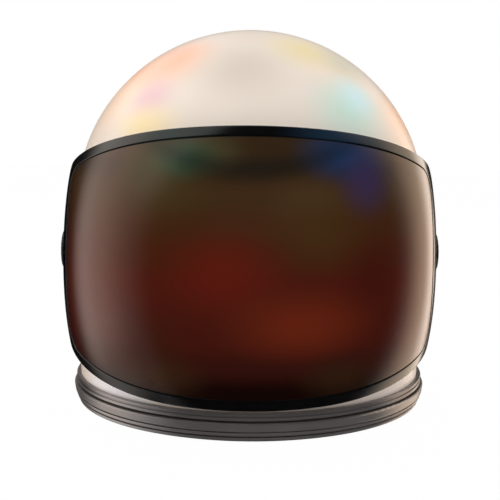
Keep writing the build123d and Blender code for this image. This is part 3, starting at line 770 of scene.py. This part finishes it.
def makeShellMaterial(finish):
    # radius = length of (x, y, climb above the dome's centre height) - taper * climb below it, so that it
    # is the same all over one side of the wall; the lining's colour ends in the middle of the wall
    material, tree, shader, place = newMaterial("shell_painted_reflections", finish["sockets"])
    x, y, z = splitXYZ(tree, place)
    climb = maths(tree, "SUBTRACT", z, shellWall["domeHeight"] * mm)
    above = maths(tree, "MAXIMUM", climb, 0.0)
    lost = maths(tree, "MULTIPLY", maths(tree, "MINIMUM", climb, 0.0), wallTaper)
    radius = maths(tree, "SUBTRACT", vectorMath(tree, "LENGTH", combineXYZ(tree, x, y, above)), lost)
    middle, edge = shellWall["dome"] - shellWall["thickness"] / 2, finish["liningEdge"]
    outside = spread(tree, radius, (middle - edge) * mm, (middle + edge) * mm, 0.0, 1.0)
    # painted reflections and painted light laid over the ground colour
    painted = paintLightPatches(tree, place, finish["ground"], finish["paintedLightPatches"])
    join(tree, mixColour(tree, outside, finish["lining"], painted), shader.inputs["Base Color"])
    scales = {"Grain_Scale": finish["grain"], "Mark_Scale": finish["marks"]}
    grain = useGroup(tree, grainGroup, Vector=place, **scales)
    addGrain(tree, shader, grain, finish)
    return material


# Colour of the coated lens by height: brown above, red in the middle and dark below, with patches of painted
# reflections of coloured studio light, painted shade at the far left edge and a painted dark reflected arc
lensFinish = {
    "sockets": {"Specular IOR Level": 0.5, "Specular Tint": (1.0, 0.7, 0.6, 1.0)},
    "marks": 6.0, "rough": (0.18, 0.22), "heights": (40.0, 230.0),
    "stops": [
        (48, tone(22, 6, 4)), (68, tone(54, 17, 11)), (88, tone(68, 20, 11)), (128, tone(74, 22, 11)),
        (150, tone(68, 28, 13)), (172, tone(64, 35, 17)), (194, tone(60, 40, 20)), (212, tone(44, 31, 18)),
        (224, tone(50, 36, 20)),
    ],
    # a painted reflection: a dark arc under the upper edge, fading out sideways between the two distances of
    # its reach
    "arc": {
        "height": 211.5, "bend": 3.2, "width": 13.0, "reach": (50.0, 110.0), "share": 0.5,
        "colour": tone(20, 24, 22),
    },
    "paintedLightPatches": [
        # painted reflections of coloured studio light
        ((-64, -166, 198), (54, 60, 34), tone(66, 54, 31), 0.7),
        ((-72, -160, 216), (40, 50, 34), tone(70, 68, 44), 0.7),
        ((-26, -176, 224), (30, 50, 22), tone(68, 62, 40), 0.8),
        ((-50, -170, 220), (34, 50, 22), tone(36, 74, 54), 0.8),
        ((46, -180, 190), (44, 60, 30), tone(74, 54, 32), 0.6),
        ((68, -157, 222), (46, 60, 28), tone(22, 52, 90), 0.92),
        ((84, -158, 202), (28, 60, 34), tone(52, 42, 78), 0.8),
        ((50, -184, 165), (56, 60, 34), tone(66, 45, 18), 0.75),
        ((-18, -196, 138), (60, 60, 42), tone(98, 22, 11), 0.7),
        ((38, -189, 100), (74, 60, 36), tone(107, 34, 11), 0.8),
        ((90, -174, 136), (36, 60, 40), tone(60, 17, 9), 0.6),
        ((-76, -174, 84), (50, 60, 40), tone(56, 26, 16), 0.6),
        # painted shade along the far left edge
        ((-144, -60, 140), (26, 90, 110), tone(14, 8, 9), 0.95),
        ((-64, -176, 58), (44, 60, 26), tone(58, 36, 20), 0.75),
        ((68, -176, 58), (44, 60, 26), tone(52, 32, 16), 0.75),
    ],
}


def makeLensMaterial(finish):
    # colour by height, painted reflections and shade as patches over it, and the painted reflected arc where
    # |z - height - bend * x^2| in metres is under its width, fading with that distance and with |x|
    material, tree, shader, place = newMaterial("amber_lens", finish["sockets"])
    x, _, z = splitXYZ(tree, place)
    ground = rampColour(tree, z, *finish["heights"], finish["stops"])
    # painted reflections and painted shade laid over the colour by height
    painted = paintLightPatches(tree, place, ground, finish["paintedLightPatches"])
    arc = finish["arc"]
    across = maths(tree, "ABSOLUTE", x)
    bow = maths(tree, "MULTIPLY", maths(tree, "MULTIPLY", across, across), arc["bend"])
    off = maths(tree, "SUBTRACT", maths(tree, "SUBTRACT", z, arc["height"] * mm), bow)
    away = maths(tree, "ABSOLUTE", off)
    band = spread(tree, away, 0.0, arc["width"] * mm, arc["share"], 0.0, smooth=True)
    near, far = arc["reach"]
    sideways = spread(tree, across, near * mm, far * mm, 1.0, 0.0, smooth=True)
    share = maths(tree, "MULTIPLY", band, sideways)
    join(tree, mixColour(tree, share, painted, arc["colour"]), shader.inputs["Base Color"])
    addGrain(tree, shader, useGroup(tree, grainGroup, Vector=place, Mark_Scale=finish["marks"]), finish)
    return material


def makePlainMaterial(name, finish):
    # dark + (light - dark) * marks as the colour, with painted light, shade and reflections as patches over
    # it, and grain, rings or weave as bump
    material, tree, shader, place = newMaterial(name, finish["sockets"])
    scales = {"Grain_Scale": finish["grain"], "Mark_Scale": finish["marks"]}
    grain = useGroup(tree, grainGroup, Vector=place, **scales)
    ground = mixColour(tree, grain.outputs["Marks"], finish["dark"], finish["light"])
    ground = paintLightPatches(tree, place, ground, finish["paintedLightPatches"])
    join(tree, ground, shader.inputs["Base Color"])
    height = None
    if "turned" in finish:
        height = useGroup(tree, turnedGroup, Vector=place, Scale=finish["turned"]).outputs["Height"]
    if "threads" in finish:
        height = useGroup(tree, weaveGroup, Vector=place, Threads=finish["threads"]).outputs["Height"]
    addGrain(tree, shader, grain, finish, height)
    return material


plainDefaults = {"bumpDepth": 0.0001, "sockets": {}, "paintedLightPatches": []}
plainFinishes = {
    "gloss_frame": {
        "dark": tone(8, 8, 9), "light": tone(13, 12, 13), "rough": (0.14, 0.2), "grain": 700.0,
        "marks": 12.0, "bump": 0.03, "sockets": {"Specular IOR Level": 0.5},
        # painted reflections on the black frame: grey-green at the upper left and blue at the upper right
        "paintedLightPatches": [
            ((-60, -158, 237), (40, 60, 24), tone(30, 42, 36), 0.8),
            ((62, -153, 236), (50, 60, 26), tone(24, 44, 62), 0.85),
        ],
    },
    "satin_knob": {
        "dark": tone(26, 25, 27), "light": tone(36, 35, 37), "rough": (0.38, 0.5), "grain": 1600.0,
        "marks": 40.0, "bump": 0.12,
    },
    "satin_ring": {
        "dark": tone(136, 131, 130), "light": tone(148, 143, 142), "rough": (0.28, 0.36), "grain": 1200.0,
        "marks": 16.0, "turned": 1800.0, "bump": 0.1, "sockets": {"Metallic": 0.6},
        # painted shade darkens the lower ring at both sides, less at the bottom left, where the light comes
        # from, than at the bottom right
        "paintedLightPatches": [
            ((-136, -66, 22), (40, 56, 14), tone(72, 69, 68), 0.9),
            ((140, -56, 22), (42, 60, 14), tone(66, 63, 62), 0.95),
            ((-138, -62, 7), (36, 52, 14), tone(116, 112, 111), 0.8),
            ((142, -52, 7), (40, 58, 14), tone(78, 75, 74), 0.9),
        ],
    },
    "black_rubber": {
        "dark": tone(16, 16, 16), "light": tone(26, 26, 26), "rough": (0.6, 0.75), "grain": 1400.0,
        "marks": 30.0, "bump": 0.2, "sockets": {"Specular IOR Level": 0.2},
    },
    "nylon_dark": {
        "dark": tone(40, 40, 41), "light": tone(52, 52, 53), "rough": (0.42, 0.52), "grain": 1200.0,
        "marks": 30.0, "bump": 0.1,
    },
    "bright_steel": {
        "dark": tone(176, 176, 178), "light": tone(196, 196, 198), "rough": (0.24, 0.34), "grain": 1500.0,
        "marks": 60.0, "bump": 0.06, "sockets": {"Metallic": 1.0},
    },
    "machined_aluminium": {
        "dark": tone(196, 197, 199), "light": tone(212, 213, 215), "rough": (0.3, 0.4), "grain": 1500.0,
        "marks": 60.0, "bump": 0.08, "sockets": {"Metallic": 1.0},
    },
    "turned_brass": {
        "dark": tone(196, 164, 96), "light": tone(214, 184, 116), "rough": (0.24, 0.34), "grain": 1500.0,
        "marks": 60.0, "bump": 0.08, "sockets": {"Metallic": 1.0},
    },
    "pad_cloth": {
        "dark": tone(58, 58, 62), "light": tone(76, 76, 80), "rough": (0.8, 0.92), "grain": 900.0,
        "marks": 24.0, "threads": 4200.0, "bump": 0.6, "bumpDepth": 0.0004,
        "sockets": {"Sheen Weight": 0.3},
    },
}
materials = {
    name: makePlainMaterial(name, {**plainDefaults, **finish}) for name, finish in plainFinishes.items()
}
materials["shell_painted_reflections"] = makeShellMaterial(shellFinish)
materials["amber_lens"] = makeLensMaterial(lensFinish)

bothSides = ("left", "right")
finishOf = {
    "shell_painted_reflections": ["helmet_shell"],
    "amber_lens": ["visor_lens"],
    "gloss_frame": ["visor_frame", "visor_rim"],
    "satin_knob": [f"{kind}_{side}" for kind in ("pivot_knob", "knob") for side in bothSides],
    "satin_ring": ["upper_ring", "lock_band", "base_ring"],
    "black_rubber": ["port_trim", "neck_seal", "lens_seal"],
    "nylon_dark": ["glide_ring_upper", "glide_ring_lower"]
    + [f"{kind}_{side}" for kind in ("inner_washer", "outer_washer") for side in bothSides],
    "bright_steel": ["lock_lugs", "lug_screws", "base_screws"]
    + [f"{kind}_{side}" for kind in ("stop_pin", "pivot_stud", "pivot_nut") for side in bothSides],
    "machined_aluminium": [f"backing_plate_{side}" for side in bothSides],
    "turned_brass": [f"{kind}_{side}" for kind in ("pivot_bushing", "knob_insert") for side in bothSides],
    "pad_cloth": ["crown_pad", "rear_pad", "side_pad_left", "side_pad_right"]
    + [piece.name for piece in padPieces],
}
for materialName, pieceNames in finishOf.items():
    for pieceName in pieceNames:
        mesh = bpy.data.objects[pieceName].data
        mesh.materials.clear()
        mesh.materials.append(materials[materialName])
print("materials:", len(materials))

# Floor, white surround and soft lamps
stageSetup = {
    "floorSize": 6.0, "floorDrop": 0.0002, "floorTone": 0.9, "whiteShare": 0.985, "worldLight": 0.56,
    # name, place, size, power, colour
    "lamps": [
        ("left_box", (-1.5, 0.25, 0.25), (1.0, 3.0), 19.0, (1.0, 0.9, 0.84)),
        ("right_box", (1.25, 0.95, 0.25), (1.0, 3.0), 10.0, (1.0, 0.86, 0.78)),
        ("front_box", (0, -2.2, 1.3), (1.6, 1.2), 17.0, (1.0, 1.0, 1.0)),
        ("top_box", (0, -0.3, 1.7), (1.2, 1.2), 3.0, (1.0, 1.0, 1.0)),
    ],
}
# Cards that only reflections show, as beside glossy things in a studio. turn and climb are in degrees, from
# straight ahead and from level, each with the fade at both ends; turn is plus to the right. The upper part
# is drawn in by a share of the turn at the left and at the right.
cardDefaults = {
    "distance": 1400.0, "drawIn": (0.0, 0.0), "light": (0.002, 0.002, 0.002), "cover": 1.0, "steps": 60,
}
cards = {
    "front_dark": {
        "turn": (-78, 116), "turnFade": (32, 32), "climb": (-89, 80), "climbFade": (4, 9),
        "drawIn": (1.0, 0.6),
    },
    "left_dark": {"turn": (-205, -104), "turnFade": (10, 24), "climb": (-80, 34), "climbFade": (9, 14)},
    "under_dark": {
        "distance": 1375.0, "turn": (80, 300), "turnFade": (20, 20), "climb": (-89, -44),
        "climbFade": (4, 16),
    },
    "left_low": {
        "distance": 1375.0, "turn": (-150, -45), "turnFade": (20, 24), "climb": (-88, -20),
        "climbFade": (5, 18), "cover": 0.55,
    },
    "left_bright": {
        "distance": 1450.0, "turn": (-160, -68), "turnFade": (10, 22), "climb": (-80, 80),
        "climbFade": (9, 9), "light": (1.75, 1.6, 1.48),
    },
    "right_warm": {
        "distance": 1450.0, "turn": (92, 150), "turnFade": (20, 8), "climb": (-80, 80),
        "climbFade": (9, 9), "light": (1.75, 1.38, 1.02),
    },
    "right_bright": {
        "distance": 1425.0, "turn": (122, 154), "turnFade": (12, 6), "climb": (-34, 30),
        "climbFade": (16, 14), "light": (3.0, 2.5, 2.1),
    },
    "right_dark": {"turn": (141, 205), "turnFade": (5, 10), "climb": (-80, 30), "climbFade": (9, 14)},
}


def showsWhite(tree):
    # 1 for what the camera, a mirror or glass sees
    path = tree.nodes.new("ShaderNodeLightPath")
    seen = maths(tree, "MAXIMUM", path.outputs["Is Camera Ray"], path.outputs["Is Glossy Ray"])
    return maths(tree, "MAXIMUM", seen, path.outputs["Is Transmission Ray"])


def mixShaders(tree, share, first, second, output):
    # first at 0 and second at 1, into the named output's surface
    node = tree.nodes.new("ShaderNodeMixShader")
    for socket, value in zip(node.inputs, (share, first.outputs[0], second.outputs[0])):
        join(tree, value, socket)
    join(tree, node.outputs[0], tree.nodes[output].inputs["Surface"])


def fadeBetween(value, ends, fades):
    # 0 at both ends, rising smoothly to 1 within each end's fade
    return smoothStep((value - ends[0]) / fades[0]) * smoothStep((ends[1] - value) / fades[1])


def makeCard(name, card):
    # part of a sphere round the helmet; each point's turn is azimuth * (1 - drawIn * (climb / highest)^2)
    sides = [np.linspace(*card[side], card["steps"]) for side in ("turn", "climb")]
    azimuth, climb = np.meshgrid(*sides, indexing="ij")
    drawIn = np.where(azimuth < 0, *card["drawIn"])
    turn = np.radians(azimuth * (1 - drawIn * (np.maximum(climb, 0) / card["climb"][1]) ** 2))
    rise = np.radians(climb)
    points = card["distance"] * np.stack([
        np.sin(turn) * np.cos(rise), -np.cos(turn) * np.cos(rise), np.sin(rise)
    ], -1) + np.array([0, 0, visor["pivotHeight"]])
    piece = gridObject(name, points)
    across = fadeBetween(azimuth, card["turn"], card["turnFade"])
    upward = fadeBetween(climb, card["climb"], card["climbFade"])
    fade = piece.data.attributes.new("fade", "FLOAT", "POINT")
    fade.data.foreach_set("value", (across * upward * card["cover"]).ravel())
    for sight in ("camera", "diffuse", "transmission", "volume_scatter", "shadow"):
        setattr(piece, f"visible_{sight}", False)
    material = bpy.data.materials.new(name)
    material.use_nodes = True
    material.cycles.emission_sampling = "NONE"  # it is seen in reflections and lights nothing
    tree = material.node_tree
    share = tree.nodes.new("ShaderNodeAttribute")
    share.attribute_name = "fade"
    glow = tree.nodes.new("ShaderNodeEmission")
    glow.inputs["Color"].default_value = (*card["light"], 1.0)
    clear = tree.nodes.new("ShaderNodeBsdfTransparent")
    mixShaders(tree, share.outputs["Fac"], clear, glow, "Material Output")
    piece.data.materials.append(material)


def makeFloor(setup):
    # a square a little below the helmet, nearly white to the camera
    floor = gridObject("floor", np.array([
        [(-1, -1, 0), (-1, 1, 0)], [(1, -1, 0), (1, 1, 0)]
    ], float) * setup["floorSize"] / mm / 2 - np.array([0, 0, setup["floorDrop"] / mm]))
    material, tree, shader, _ = newMaterial("pale_floor", {
        "Base Color": (setup["floorTone"],) * 3 + (1,), "Roughness": 0.9, "Specular IOR Level": 0.0,
    })
    share = maths(tree, "MULTIPLY", showsWhite(tree), setup["whiteShare"])
    mixShaders(tree, share, shader, tree.nodes.new("ShaderNodeEmission"), "Material Output")
    floor.data.materials.append(material)
    floor.visible_glossy = False  # reflections show the white surround and the cards past it


def makeRoom(setup):
    # full white for what the camera, a mirror or glass sees, and the world's light for the rest
    world = bpy.data.worlds.new("white_room")
    world.use_nodes = True
    bpy.context.scene.world = world
    tree = world.node_tree
    light = tree.nodes["Background"]
    light.inputs["Strength"].default_value = setup["worldLight"]
    white = tree.nodes.new("ShaderNodeBackground")
    for ground in (light, white):
        ground.inputs["Color"].default_value = (1, 1, 1, 1)
    mixShaders(tree, showsWhite(tree), light, white, "World Output")


def makeLamp(name, spot, size, power, colour):
    # turned so that it faces the camera's aim
    data = bpy.data.lights.new(name, "AREA")
    data.shape = "RECTANGLE"
    data.size, data.size_y = size
    data.energy = power
    data.color = colour
    lamp = bpy.data.objects.new(name, data)
    lamp.location = spot
    lamp.visible_camera = False
    lamp.visible_glossy = False
    away = Vector(spot) - Vector(cameraSetup["aim"])
    lamp.rotation_euler = away.to_track_quat("Z", "Y").to_euler()
    bpy.context.scene.collection.objects.link(lamp)


makeFloor(stageSetup)
for name, card in cards.items():
    makeCard(name, {**cardDefaults, **card})
makeRoom(stageSetup)
for lamp in stageSetup["lamps"]:
    makeLamp(*lamp)
print("stage set")
